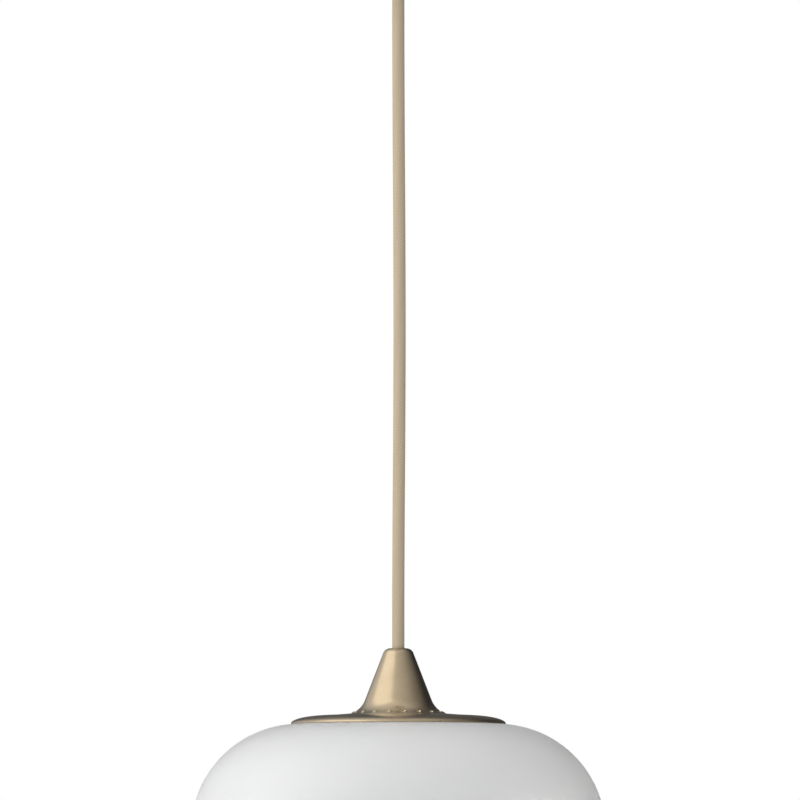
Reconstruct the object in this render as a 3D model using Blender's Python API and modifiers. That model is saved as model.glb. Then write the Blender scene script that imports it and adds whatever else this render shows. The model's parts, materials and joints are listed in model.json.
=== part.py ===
"""Pendant ceiling light: a satin brass cap and lid over a blown opal glass shade, on a textile cord.

Run with:  blender --background --python part.py

The frame's origin is on the ceiling, at the middle of the bracket, with +Z up: everything hangs
below it on the Z axis. Outlines are in millimetres, as (radius, height) pairs, and MM turns them
to metres where a mesh is made. Every turned outline runs down its outer side and back up inside.
"""

import math

import bmesh
import bpy
from mathutils import Matrix, Vector

MM = 0.001
GAP = 0.3  # between two pieces that touch

# --- Driving dimensions, mm ---------------------------------------------------------------------
CORD_R = 3.0  # three cores of 0.75 mm2 under a woven sleeve
CORD_FREE = 327.0  # from the mouth of the ceiling grip to the top of the cap
CANOPY_R, CANOPY_DEPTH, CANOPY_SHEET = 50.0, 46.0, 1.2
BRACKET_SPAN, BRACKET_WIDTH, BRACKET_SHEET, EAR_DROP = 92.0, 18.0, 2.0, 15.0
GRIP_R, GRIP_LENGTH, GRIP_MOUTH_DEPTH, GRIP_MOUTH_R = 9.0, 16.0, 6.0, 7.9
THREAD_R, THREAD_BORE_R = 5.0, 4.0  # M10 x 1, hollow
NUT_ACROSS_FLATS, NUT_HEIGHT = 14.0, 3.5
BORE_R = CORD_R + GAP
THREAD_CLEAR_R = THREAD_R + GAP

CAP_SHEET = 1.0
CAP_SLOPE = 21.2  # the cone's half angle, degrees
CAP_FLARE_TOP = -24.2  # where the straight cone turns into its flared foot
CAP_FLARE_R = 11.0
CAP_FLARE_END = 71.0  # the foot's last tangent, in degrees from vertical
VENTS, VENT_R, VENT_RING_R, VENT_TURN = 18, 0.7, 21.5, 8.0

LID_R, LID_RIM = 51.5, -35.5
LID_DOME_R, LID_DOME = 34.0, 3.95  # where the lid starts to fall away, and by how much
LID_STEP_R, LID_FLOOR, LID_SHEET = 23.4, -31.8, 1.0

SHADE_R, SHADE_WALL = 99.3, 3.0
SHADE_TOP, SHADE_HOLE_R, SHADE_MOUTH_R = -35.7, 30.0, 46.0
SHOULDER_R = 51.5  # the rounded shoulder of the glass
SHADE_DROP_HALF = 104.0  # the lower half is half an ellipse this tall
SHADE_JOINTS = 45.0, -26.7  # where the glass's three solids meet, in degrees at its waist

HOLDER_R, HOLDER_TOP, HOLDER_END = 19.5, -36.9, -84.0
RING_TOP, RING_HEIGHT, RING_R = -57.1, 8.0, 24.5
BULB_R, BULB_CENTRE = 22.5, -119.1

# --- Heights that follow, mm ---------------------------------------------------------------------
GRIP_TOP = -CANOPY_DEPTH - GAP
GRIP_MOUTH = GRIP_TOP - GRIP_LENGTH
CORD_EXIT = GRIP_MOUTH + GRIP_MOUTH_DEPTH  # the throat, where the cord bends when the lamp swings
HEAD_TOP = GRIP_MOUTH - CORD_FREE
SHOULDER_Z = SHADE_TOP - SHOULDER_R  # the height at which the glass is widest
SHADE_FLAT_R = SHADE_R - SHOULDER_R

# The free cord's route, (sideways, down from its exit): straight out, then it drifts a little.
CORD_ROUTE = [
    (0.0, 0.0),
    (0.0, 30.0),
    (0.15, 80.0),
    (0.45, 130.0),
    (0.6, 180.0),
    (0.45, 225.0),
    (0.15, 270.0),
    (0.0, 305.0),
    (0.0, CORD_FREE + GRIP_MOUTH_DEPTH),
]
CORD_NECK = 14.0  # the stretch under the exit that is a solid of its own

# name: (colour, metallic, roughness)
FINISHES = {
    "satin_brass": ((0.60, 0.50, 0.34), 1.0, 0.30),
    "plain_brass": ((0.66, 0.52, 0.26), 1.0, 0.35),
    "zinc_steel": ((0.62, 0.63, 0.64), 1.0, 0.40),
    "nickel": ((0.70, 0.69, 0.66), 1.0, 0.30),
    "opal_glass": ((0.90, 0.90, 0.89), 0.0, 0.35),
    "textile_cord": ((0.60, 0.50, 0.38), 0.0, 0.70),
    "white_nylon": ((0.85, 0.84, 0.80), 0.0, 0.50),
    "white_silicone": ((0.88, 0.88, 0.86), 0.0, 0.60),
    "phenolic": ((0.05, 0.045, 0.04), 0.0, 0.40),
    "porcelain": ((0.88, 0.87, 0.83), 0.0, 0.25),
    "bulb_plastic": ((0.90, 0.90, 0.88), 0.0, 0.35),
    "circuit_board": ((0.08, 0.25, 0.12), 0.0, 0.50),
    "brown_core": ((0.20, 0.08, 0.03), 0.0, 0.50),
    "blue_core": ((0.03, 0.15, 0.45), 0.0, 0.50),
    "earth_core": ((0.25, 0.45, 0.08), 0.0, 0.50),
}


# --- Tools ---------------------------------------------------------------------------------------
def new_collection(name):
    made = bpy.data.collections.new(name)
    bpy.context.scene.collection.children.link(made)
    return made


def new_frame(name, height, parent=None):
    """An empty on the lamp's axis that carries one moving body."""
    made = bpy.data.objects.new(name, None)
    made.empty_display_size = 0.02
    PARTS.objects.link(made)
    made.parent = parent
    above = parent["height"] if parent else 0.0
    made["height"] = height
    made.location = (0, 0, (height - above) * MM)
    return made


def give_finish(made, finish):
    colour, metallic, roughness = FINISHES[finish]
    material = bpy.data.materials.new(made.name)
    material.use_nodes = True
    shader = material.node_tree.nodes["Principled BSDF"]
    shader.inputs["Base Color"].default_value = (*colour, 1)
    shader.inputs["Metallic"].default_value = metallic
    shader.inputs["Roughness"].default_value = roughness
    made.data.materials.append(material)


def place(made, frame, at=(0, 0, 0), turn=(0, 0, 0)):
    made.parent = frame
    made.location = Vector(at) * MM
    made.rotation_euler = [math.radians(angle) for angle in turn]
    return made


def add_part(data, name, finish, frame, at=(0, 0, 0), turn=(0, 0, 0)):
    made = bpy.data.objects.new(name, data)
    PARTS.objects.link(made)
    give_finish(made, finish)
    return place(made, frame, at, turn)


def arc(centre, radius, first, last, count):
    """Points round a centre, or an ellipse's where radius is a pair; angles in degrees."""
    wide, tall = radius if isinstance(radius, tuple) else (radius, radius)
    angles = [first + (last - first) * i / (count - 1) for i in range(count)]
    return [
        (centre[0] + wide * math.cos(math.radians(a)), centre[1] + tall * math.sin(math.radians(a)))
        for a in angles
    ]


def turned(name, finish, frame, outline, steps=24, **where):
    """A turned piece. An outline that starts on the axis is solid there, and any other is a ring."""
    mesh = bpy.data.meshes.new(name)
    points = [(radius * MM, 0, height * MM) for radius, height in outline]
    edges = [(i, i + 1) for i in range(len(points) - 1)]
    if outline[0][0] > 0:
        edges.append((len(points) - 1, 0))
    mesh.from_pydata(points, edges, [])
    made = add_part(mesh, name, finish, frame, **where)
    screw = made.modifiers.new("Turn", "SCREW")
    screw.steps = screw.render_steps = steps
    screw.use_merge_vertices = True
    screw.merge_threshold = 0.00002
    screw.use_smooth_shade = True
    return made


def ring(name, finish, frame, outer, inner, top, bottom, steps=24, **where):
    outline = [(outer, top), (outer, bottom), (inner, bottom), (inner, top)]
    return turned(name, finish, frame, outline, steps, **where)


def rod(name, finish, frame, radius, top, bottom, steps=12, **where):
    outline = [(0, top), (radius, top), (radius, bottom), (0, bottom)]
    return turned(name, finish, frame, outline, steps, **where)


def block(name, finish, frame, size, at, bevel=0.0):
    mesh = bpy.data.meshes.new(name)
    shape = bmesh.new()
    bmesh.ops.create_cube(shape, size=1, matrix=Matrix.Diagonal((*(s * MM for s in size), 1)))
    shape.to_mesh(mesh)
    shape.free()
    made = add_part(mesh, name, finish, frame, at)
    if bevel:
        made.modifiers.new("Edges", "BEVEL").width = bevel * MM
    return made


def as_mesh(made):
    """Makes a curve object a mesh whose caps are welded on, so that it can be cut."""
    bpy.context.view_layer.update()
    seen = bpy.context.evaluated_depsgraph_get()
    mesh = bpy.data.meshes.new_from_object(made.evaluated_get(seen), depsgraph=seen)
    shape = bmesh.new()
    shape.from_mesh(mesh)
    bmesh.ops.remove_doubles(shape, verts=shape.verts, dist=0.00001)
    shape.to_mesh(mesh)
    shape.free()
    name, frame, at, turn = made.name, made.parent, made.location.copy(), made.rotation_euler.copy()
    bpy.data.objects.remove(made)
    solid = bpy.data.objects.new(name, mesh)
    PARTS.objects.link(solid)
    solid.parent, solid.location, solid.rotation_euler = frame, at, turn
    return solid


def flat_outline(name, finish, frame, outlines, thickness, at, turn=(0, 0, 0)):
    """A plate cut to closed outlines: the first is its edge, and the others are its holes."""
    curve = bpy.data.curves.new(name, "CURVE")
    curve.dimensions, curve.fill_mode = "2D", "BOTH"
    curve.extrude = thickness / 2 * MM
    for outline in outlines:
        spline = curve.splines.new("POLY")
        spline.points.add(len(outline) - 1)
        spline.use_cyclic_u = True
        for point, (x, y) in zip(spline.points, outline, strict=True):
            point.co = (x * MM, y * MM, 0, 1)
    return as_mesh(add_part(curve, name, finish, frame, at, turn))


def circle(radius, count, first=0.0):
    return arc((0, 0), radius, first, first + 360 * (count - 1) / count, count)


def hex_nut(name, finish, frame, top):
    """A thin M10 nut whose upper face is at top."""
    corners = circle(NUT_ACROSS_FLATS / math.sqrt(3), 6)
    hole = circle(THREAD_CLEAR_R, 16)
    return flat_outline(name, finish, frame, [corners, hole], NUT_HEIGHT, (0, 0, top - NUT_HEIGHT / 2))


def smooth_route(points, spacing):
    """Points about spacing apart on a smooth (Catmull-Rom) curve through points."""
    ends = [2 * Vector(points[0]) - Vector(points[1])], [2 * Vector(points[-1]) - Vector(points[-2])]
    knots = ends[0] + [Vector(p) for p in points] + ends[1]
    made = []
    for a, b, c, d in zip(knots, knots[1:], knots[2:], knots[3:], strict=False):
        count = max(1, round((c - b).length / spacing))
        for i in range(count):
            t = i / count
            made.append(
                0.5 * (2 * b + (c - a) * t + (2 * a - 5 * b + 4 * c - d) * t**2)
                + 0.5 * (3 * b - a - 3 * c + d) * t**3
            )
    return [*made, knots[-2]]


def wire(name, finish, frame, route, radius, spacing, resolution=2):
    curve = bpy.data.curves.new(name, "CURVE")
    curve.dimensions = "3D"
    curve.bevel_depth, curve.bevel_resolution = radius * MM, resolution
    curve.use_fill_caps = True
    points = smooth_route(route, spacing)
    spline = curve.splines.new("POLY")
    spline.points.add(len(points) - 1)
    for point, spot in zip(spline.points, points, strict=True):
        point.co = (*(spot * MM), 1)
    return add_part(curve, name, finish, frame)


def drill(made, holes, sides=12):
    """Cuts round holes: each is (middle, direction, radius, length), in made's own frame."""
    mesh = bpy.data.meshes.new(made.name + "_holes")
    shape = bmesh.new()
    for middle, direction, radius, length in holes:
        aim = Vector(direction).to_track_quat("Z", "Y").to_matrix().to_4x4()
        bmesh.ops.create_cone(
            shape,
            cap_ends=True,
            segments=sides,
            radius1=radius * MM,
            radius2=radius * MM,
            depth=length * MM,
            matrix=Matrix.Translation(Vector(middle) * MM) @ aim,
        )
    shape.to_mesh(mesh)
    shape.free()
    cutter = bpy.data.objects.new(mesh.name, mesh)
    CUTTERS.objects.link(cutter)
    cutter.parent, cutter.location, cutter.rotation_euler = made.parent, made.location, made.rotation_euler
    cutter.hide_render, cutter.display_type = True, "WIRE"
    cut = made.modifiers.new("Holes", "BOOLEAN")
    cut.operation, cut.object = "DIFFERENCE", cutter


def round_about(radius, count, first=0.0):
    """Places evenly spaced round the axis, as (x, y, angle in radians)."""
    for i in range(count):
        angle = math.radians(first) + 2 * math.pi * i / count
        yield radius * math.cos(angle), radius * math.sin(angle), angle


# --- Ceiling bracket -----------------------------------------------------------------------------
def slot_outline(x, length, width):
    half = (length - width) / 2
    return arc((x + half, 0), width / 2, 90, -90, 7) + arc((x - half, 0), width / 2, 270, 90, 7)


def build_bracket(frame):
    half, sheet = BRACKET_SPAN / 2, BRACKET_SHEET
    strap = [
        (-half, 0),
        (half, 0),
        (half, -EAR_DROP),
        (half - sheet, -EAR_DROP),
        (half - sheet, -sheet),
        (sheet - half, -sheet),
        (sheet - half, -EAR_DROP),
        (-half, -EAR_DROP),
    ]
    bracket = flat_outline(
        "ceiling_bracket", "zinc_steel", frame, [strap], BRACKET_WIDTH, (0, 0, 0), (90, 0, 0)
    )
    # The strap's own frame is on its side, so down through it is its Y.
    mesh = bpy.data.meshes.new("bracket_slots")
    shape = bmesh.new()
    for x in (-31.0, 31.0):
        top = [shape.verts.new((a * MM, 3 * MM, b * MM)) for a, b in slot_outline(x, 14.0, 5.0)]
        face = shape.faces.new(top)
        made = bmesh.ops.extrude_face_region(shape, geom=[face])["geom"]
        moved = [v for v in made if isinstance(v, bmesh.types.BMVert)]
        bmesh.ops.translate(shape, verts=moved, vec=(0, -8 * MM, 0))
    bmesh.ops.recalc_face_normals(shape, faces=shape.faces)
    shape.to_mesh(mesh)
    shape.free()
    cutter = bpy.data.objects.new(mesh.name, mesh)
    CUTTERS.objects.link(cutter)
    cutter.parent, cutter.rotation_euler = frame, bracket.rotation_euler
    cutter.hide_render, cutter.display_type = True, "WIRE"
    cut = bracket.modifiers.new("Slots", "BOOLEAN")
    cut.operation, cut.object = "DIFFERENCE", cutter
    earth_x = 16.0
    drill(bracket, [((earth_x, -sheet / 2, 0), (0, 1, 0), 2.2, 6.0)])
    head = [(0, -GAP), (1.9, -GAP), (1.9, -sheet - GAP), (4, -sheet - GAP), (3.6, -4.8), (0, -4.8)]
    turned("bracket_earth_screw", "plain_brass", frame, head, 16, at=(earth_x, 0, 0))


# --- Canopy and what it holds --------------------------------------------------------------------
def build_canopy(frame):
    depth, corner = -CANOPY_DEPTH, 6.0
    flat, inner = CANOPY_R - corner, corner - CANOPY_SHEET
    outline = [(CANOPY_R, -0.5), *arc((flat, depth + corner), corner, 0, -90, 4)]
    outline += [(THREAD_CLEAR_R, depth), (THREAD_CLEAR_R, depth + CANOPY_SHEET)]
    outline += [*arc((flat, depth + corner), inner, -90, 0, 4), (CANOPY_R - CANOPY_SHEET, -0.5)]
    cup = turned("canopy_cup", "satin_brass", frame, outline, 36)
    screw_z = -8.0
    drill(cup, [((0, 0, screw_z), (1, 0, 0), 2.3, 2 * CANOPY_R + 10)])
    shank, head = BRACKET_SPAN / 2 + GAP, CANOPY_R + GAP
    screw = [(0, head + 3.5), (3.4, head + 3.5), (4, head + 2.9), (4, head)]
    screw += [(1.9, head), (1.9, shank), (0, shank)]
    for side, angle in (("left", -90), ("right", 90)):
        where = {"at": (0, 0, screw_z), "turn": (0, angle, 0)}
        turned(f"canopy_screw_{side}", "satin_brass", frame, screw, 16, **where)


def build_grip(frame):
    """The brass cord grip: its threaded neck goes up through the canopy, and its mouth is flared."""
    neck_top = GRIP_TOP + 8.8
    outline = [
        (THREAD_R, neck_top),
        (THREAD_R, GRIP_TOP),
        (GRIP_R, GRIP_TOP),
        (GRIP_R, GRIP_MOUTH + 0.6),
        (GRIP_R - 0.6, GRIP_MOUTH),
        (GRIP_MOUTH_R, GRIP_MOUTH),
        (BORE_R, CORD_EXIT),
        (BORE_R, neck_top),
    ]
    barrel = turned("cord_grip_barrel", "satin_brass", frame, outline, 24)
    screw_z = -51.3
    drill(barrel, [((GRIP_R / 2 + 2, 0, screw_z), (1, 0, 0), 2.2, GRIP_R)], 16)
    screw = [(0, GRIP_R - 0.2), (1.9, GRIP_R - 0.2), (1.9, BORE_R + GAP), (0, BORE_R + GAP)]
    turned("cord_grip_screw", "white_nylon", frame, screw, 12, at=(0, 0, screw_z), turn=(0, 90, 0))
    floor = -CANOPY_DEPTH + CANOPY_SHEET + GAP
    ring("cord_grip_washer", "zinc_steel", frame, 8.5, THREAD_CLEAR_R, floor + 1, floor, 20)
    tag_z = floor + 1 + GAP
    tag = arc((0, 0), 7.5, -70, 250, 14) + [(-2.6, -14.0), (2.6, -14.0)]
    hole = circle(THREAD_CLEAR_R, 16)
    flat_outline("canopy_earth_tag", "plain_brass", frame, [tag, hole], 0.8, (0, 0, tag_z + 0.4))
    hex_nut("cord_grip_nut", "plain_brass", frame, tag_z + 0.8 + GAP + NUT_HEIGHT)


def build_wiring(frame):
    """The cord's end inside the canopy, split into three cores that run to a terminal block."""
    cord_end = -30.0
    rod("cord_entry", "textile_cord", frame, CORD_R, cord_end, CORD_EXIT)
    middle, size = (0, 24, -25), (36, 18, 14)
    block("terminal_block", "white_nylon", frame, size, middle, 1.0)
    face_y, top_z = middle[1] - size[1] / 2, middle[2] + size[2] / 2
    kinds = ("live", "brown_core", 210), ("earth", "earth_core", 90), ("neutral", "blue_core", 330)
    for (kind, finish, angle), x in zip(kinds, (-10, 0, 10), strict=True):
        start = Vector((math.cos(math.radians(angle)), math.sin(math.radians(angle)), 0)) * 1.75
        start.z = cord_end + GAP
        route = [start, start + Vector((x * 0.1, 0, 4)), (x * 0.55, 6, -23.5)]
        route += [(x, face_y - 3, middle[2]), (x, face_y - GAP, middle[2])]
        wire(f"canopy_core_{kind}", finish, frame, route, 0.9, 3.0)
        head, under = top_z + 1.8, top_z + GAP
        rod(f"block_screw_{kind}", "zinc_steel", frame, 2.4, head, under, at=(x, middle[1], 0))
    route = [(15, face_y - GAP, -28), (15, face_y - 3, -28), (18, 2, -29.5)]
    route += [(13, -9, -33), (2, -12.5, -37), (0, -12, -39.5), (0, -12, -41.5)]
    wire("canopy_earth_lead", "earth_core", frame, route, 0.9, 5.0)


# --- The cord ------------------------------------------------------------------------------------
def build_cord(neck_frame, hang_frame):
    """Two plain tubes: a short neck under the exit, where the cord bends, and the rest."""
    rod("cord_neck", "textile_cord", neck_frame, CORD_R, -GAP, -CORD_NECK)
    route = [(0, 0, -CORD_NECK - GAP)]
    route += [(x, 0, -down) for x, down in CORD_ROUTE if down > CORD_NECK + 10]
    wire("cord", "textile_cord", hang_frame, route, CORD_R, 2.5 * 2 * CORD_R, 4)


# --- Cap, lid and fixings ------------------------------------------------------------------------
def cap_outline():
    """A cone with a rounded top and a foot that flares out on an arc, spun from one sheet."""
    slope, end = math.radians(CAP_SLOPE), CAP_FLARE_END
    top, crown = (3.91, -3.0), 3.6
    start_r = top[0] + crown * math.cos(slope)
    start_z = top[1] + crown * math.sin(slope)
    flare_r = start_r + (start_z - CAP_FLARE_TOP) * math.tan(slope)
    middle = (flare_r + CAP_FLARE_R * math.cos(slope), CAP_FLARE_TOP + CAP_FLARE_R * math.sin(slope))
    hole = CORD_R + 0.5
    outline = [(hole, top[1] + crown), *arc(top, crown, 90, CAP_SLOPE, 5)]
    outline += arc(middle, CAP_FLARE_R, 180 + CAP_SLOPE, 180 + end, 5)
    outline += [(23.0, -30.75), (23.0, -31.5)]
    outline += arc(middle, CAP_FLARE_R + CAP_SHEET, 180 + end - 2, 180 + CAP_SLOPE, 4)
    outline += [*arc(top, crown - CAP_SHEET, CAP_SLOPE, 90, 3), (hole, top[1] + crown - CAP_SHEET)]
    return outline, middle


def build_cap(frame):
    outline, middle = cap_outline()
    cap = turned("cap", "satin_brass", frame, outline, 36)
    depth = math.sqrt(CAP_FLARE_R**2 - (middle[0] - VENT_RING_R) ** 2)
    holes = []
    for x, y, angle in round_about(VENT_RING_R, VENTS, VENT_TURN - 90):
        inward = middle[0] - VENT_RING_R
        normal = (math.cos(angle) * inward, math.sin(angle) * inward, depth)
        holes.append(((x, y, middle[1] - depth), normal, VENT_R, 6.0))
    drill(cap, holes, 8)


def build_lid(frame):
    shoulder, fall = (LID_DOME_R, LID_RIM), LID_R - LID_DOME_R
    outline = [(THREAD_CLEAR_R, LID_FLOOR), (LID_STEP_R, LID_FLOOR), (LID_STEP_R + 0.3, -30.75)]
    outline += arc(shoulder, (fall, LID_DOME), 90, 0, 7)
    outline += arc(shoulder, (fall - LID_SHEET, LID_DOME - LID_SHEET), 0, 90, 6)
    under = LID_FLOOR - LID_SHEET
    outline += [(26.0, -31.9), (LID_STEP_R + 1.0, under), (THREAD_CLEAR_R, under)]
    lid = turned("lid_disc", "satin_brass", frame, outline, 40)
    drill(lid, [((x, y, LID_FLOOR), (0, 0, 1), 3.0, 6.0) for x, y, _ in round_about(15.0, 6, 30)])
    ring("lid_gasket", "white_silicone", frame, 46, 38, -33.9, SHADE_TOP + GAP, 28)


def build_fixings(frame):
    """The hollow thread through the lid, its nuts, and the cord clamp on its upper end."""
    rod("cord_tail", "textile_cord", frame, CORD_R, -GAP, -47.5)
    nut_top = -26.3
    ring("nipple", "plain_brass", frame, THREAD_R, THREAD_BORE_R, -19.0, -46.0, 20)
    body = [(7.2, -15.3), (7.2, nut_top + GAP), (THREAD_CLEAR_R, nut_top + GAP)]
    body += [(THREAD_CLEAR_R, -18.7), (BORE_R, -18.7), (BORE_R, -15.3)]
    turned("cord_clamp_body", "white_nylon", frame, body, 20)
    nut = [(6.0, -9.0), (7.2, -10.5), (7.2, -15.0), (BORE_R, -15.0), (BORE_R, -9.0)]
    turned("cord_clamp_nut", "white_nylon", frame, nut, 20)
    hex_nut("nipple_upper_nut", "plain_brass", frame, nut_top)
    washer_top = nut_top - NUT_HEIGHT - GAP
    ring("nipple_washer", "zinc_steel", frame, 9.5, THREAD_CLEAR_R, washer_top, LID_FLOOR + GAP, 20)
    hex_nut("nipple_lower_nut", "plain_brass", frame, LID_FLOOR - LID_SHEET - GAP)


# --- Lampholder ----------------------------------------------------------------------------------
def build_holder(frame):
    dome, inside = (8.5, -50.0), HOLDER_R - 1.6
    cap = [(8.5, HOLDER_TOP), *arc(dome, (HOLDER_R - 8.5, 9.0), 90, 0, 5), (HOLDER_R, -52.0), (inside, -52.0)]
    cap += [*arc(dome, (inside - 8.5, 7.4), 0, 90, 4), (THREAD_CLEAR_R, -42.6), (THREAD_CLEAR_R, HOLDER_TOP)]
    turned("lampholder_cap", "phenolic", frame, cap, 24)
    top, bottom, lip = -52.3, HOLDER_END, 15.2
    skirt = [(HOLDER_R, top), (HOLDER_R, bottom), (lip, bottom), (lip, bottom + 1.5)]
    skirt += [(HOLDER_R - 1.9, bottom + 1.5), (HOLDER_R - 1.9, top)]
    turned("lampholder_skirt", "phenolic", frame, skirt, 28)
    seat = -61.8
    rod("lampholder_insert", "porcelain", frame, 16.8, -52.6, seat, 28)
    ring("screw_shell", "plain_brass", frame, 14.5, 13.7, seat - GAP, bottom + 1.8, 28)
    block("centre_contact", "plain_brass", frame, (14, 5, 0.7), (0, 0, seat - GAP - 0.35))
    cores = (("earth", "earth_core", 90), ("live", "brown_core", 210), ("neutral", "blue_core", 330))
    for kind, finish, angle in cores:
        out = Vector((math.cos(math.radians(angle)), math.sin(math.radians(angle)), 0))
        route = [(*(out * 1.75).xy, -47.8), (*(out * 2.3).xy, -49.2), (*(out * 6.2).xy, -50.6)]
        wire(f"holder_core_{kind}", finish, frame, route, 0.9, 2.0)
        rod(f"holder_screw_{kind}", "zinc_steel", frame, 2.2, -50.2, -52.3, 12, at=(*(out * 9.5).xy, 0))


# --- Shade ---------------------------------------------------------------------------------------
def shade_band(first, last, steps, tuck=0.0):
    """Both faces of the wall between two angles at its waist.

    Above the waist they follow the shoulder's circle, and below it an ellipse. The inner face
    ends `tuck` degrees further on."""
    faces = []
    for inset, end in ((0, last), (SHADE_WALL, last - tuck)):
        face = []
        for i in range(steps + 1):
            angle = first + (end - first) * i / steps
            middle, reach, drop = 0, SHADE_R, SHADE_DROP_HALF
            if angle >= 0:
                middle, reach, drop = SHADE_FLAT_R, SHOULDER_R, SHOULDER_R
            a = math.radians(angle)
            r, z = (reach - inset) * math.cos(a), (drop - inset) * math.sin(a)
            face.append((middle + r, SHOULDER_Z + z))
        faces.append(face)
    return faces[0], faces[1][::-1]


def build_shade(frame, ring_frame):
    """The glass, and the dish that a threaded ring on the lampholder presses up against it.

    The glass is blown in one piece. It is three solids here, so that each can be split into
    collision pieces that leave its inside open."""
    high, low = SHADE_JOINTS
    mouth = math.degrees(math.acos(SHADE_MOUTH_R / SHADE_R))
    apart = math.degrees(GAP / SHOULDER_R)
    outer, inner = shade_band(90, high, 4)
    edge = SHADE_HOLE_R + 0.8
    crown = [(edge, SHADE_TOP), *outer, *inner, (edge, SHADE_TOP - SHADE_WALL)]
    crown.append((SHADE_HOLE_R, SHADE_TOP - SHADE_WALL / 2))
    turned("opal_shade_crown", "opal_glass", frame, crown, 40)
    outer, inner = shade_band(high - apart, low, 7)
    turned("opal_shade_waist", "opal_glass", frame, outer + inner, 40)
    outer, inner = shade_band(low - apart, -mouth, 4, 0.9)
    turned("opal_shade_mouth", "opal_glass", frame, outer + inner, 40)
    inside_top = SHADE_TOP - SHADE_WALL - GAP
    ring("shade_gasket", "white_silicone", frame, 39, 31, inside_top, inside_top - 2, 28)
    flange, sheet, hole, hub, foot = inside_top - 2 - GAP, 1.2, HOLDER_R + 0.4, 25.0, RING_TOP + GAP
    dish = [(40, flange), (40, flange - sheet), (32.8, flange - sheet), (hub + 0.8, foot), (hole, foot)]
    dish += [(hole, foot + sheet), (hub, foot + sheet), (32, flange)]
    plate = turned("clamp_dish", "zinc_steel", frame, dish, 32)
    slope = (flange - foot - sheet, 7.0)  # square to the dish's sloping wall: out, and down
    holes = [
        ((x, y, (flange + foot) / 2), (math.cos(a) * slope[0], math.sin(a) * slope[0], -slope[1]), 4.0, 9.0)
        for x, y, a in round_about(28.9, 8)
    ]
    drill(plate, holes, 10)
    ring("shade_ring", "phenolic", ring_frame, RING_R, HOLDER_R + 0.4, RING_TOP, RING_TOP - RING_HEIGHT, 32)


# --- Bulb ----------------------------------------------------------------------------------------
def build_bulb(frame):
    """An LED globe bulb with a 27 mm screw cap."""
    rod("bulb_contact", "nickel", frame, 4.5, -63.1, -64.3, 16)
    insulator = [(0, -64.6), (5.5, -64.6), (11.5, -68.0), (0, -68.0)]
    turned("bulb_insulator", "phenolic", frame, insulator, 20)
    cap = [(12.9, -68.3), (12.9, -87.5), (12.1, -87.5), (12.1, -69.1), (6.0, -69.1), (6.0, -68.3)]
    turned("bulb_cap", "nickel", frame, cap, 24)
    rim = -108.0
    housing = [(13.6, -87.8), (14.6, -91.5), (19.6, rim), (18.2, rim), (13.2, -91.8), (12.2, -87.8)]
    turned("bulb_housing", "bulb_plastic", frame, housing, 24)
    rod("bulb_led_board", "circuit_board", frame, 16.4, -103.4, -105.0, 24)
    block("bulb_driver_board", "circuit_board", frame, (14, 1.6, 22), (0, 0, -90))
    edge = math.degrees(math.asin((rim - GAP - BULB_CENTRE) / BULB_R))
    globe = [*arc((0, BULB_CENTRE), BULB_R - 1.2, -90, edge, 6), *arc((0, BULB_CENTRE), BULB_R, edge, -90, 8)]
    globe[0], globe[-1] = (0, globe[0][1]), (0, globe[-1][1])
    turned("bulb_globe", "bulb_plastic", frame, globe, 24)


# --- Assembly ------------------------------------------------------------------------------------
for leftover in list(bpy.data.objects):
    bpy.data.objects.remove(leftover)
PARTS = new_collection("pendant_light")
CUTTERS = new_collection("cutters")

ceiling = new_frame("ceiling_frame", 0)
canopy = new_frame("canopy_frame", 0, ceiling)
neck = new_frame("cord_neck_frame", CORD_EXIT, canopy)
hang = new_frame("cord_frame", CORD_EXIT, neck)
head = new_frame("head_frame", HEAD_TOP, hang)
cap_slide = new_frame("cap_frame", HEAD_TOP, head)
shade_slide = new_frame("shade_frame", HEAD_TOP, head)
ring_turn = new_frame("ring_frame", HEAD_TOP, shade_slide)
bulb_screw = new_frame("bulb_frame", HEAD_TOP, head)

build_bracket(ceiling)
build_canopy(canopy)
build_grip(canopy)
build_wiring(canopy)
build_cord(neck, hang)
build_cap(cap_slide)
build_lid(head)
build_fixings(head)
build_holder(head)
build_shade(shade_slide, ring_turn)
build_bulb(bulb_screw)
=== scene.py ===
"""Pendant ceiling light: satin brass cap and lid over a blown opal glass shade, on a woven cord.

Lengths are in millimetres in every outline here, and MM turns them to metres when a mesh is made.
An outline is an array of (radius, height) pairs, and heights in the head count from the cap's top.
"""

import json

import bmesh
import bpy
import numpy as np
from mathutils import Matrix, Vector


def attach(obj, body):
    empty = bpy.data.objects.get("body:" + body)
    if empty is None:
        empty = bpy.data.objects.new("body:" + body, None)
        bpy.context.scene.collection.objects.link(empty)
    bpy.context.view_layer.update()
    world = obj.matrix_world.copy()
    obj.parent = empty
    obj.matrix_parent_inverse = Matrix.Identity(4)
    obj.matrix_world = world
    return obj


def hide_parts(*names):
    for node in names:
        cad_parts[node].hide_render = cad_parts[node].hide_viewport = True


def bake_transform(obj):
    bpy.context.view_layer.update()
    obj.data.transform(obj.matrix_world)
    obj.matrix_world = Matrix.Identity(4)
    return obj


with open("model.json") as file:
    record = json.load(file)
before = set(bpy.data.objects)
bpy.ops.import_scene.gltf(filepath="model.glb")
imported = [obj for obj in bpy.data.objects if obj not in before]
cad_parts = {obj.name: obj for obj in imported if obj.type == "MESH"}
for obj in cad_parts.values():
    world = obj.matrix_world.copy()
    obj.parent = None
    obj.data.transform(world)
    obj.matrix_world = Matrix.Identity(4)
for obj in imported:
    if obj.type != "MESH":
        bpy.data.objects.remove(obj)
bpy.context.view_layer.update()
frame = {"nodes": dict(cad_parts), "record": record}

MM = 0.001
CAP_TOP = -389.3  # the cap's top, under the ceiling
EXIT = -56.3  # the throat of the ceiling grip, where the cord bends
CORD_R = 3.0
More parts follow.
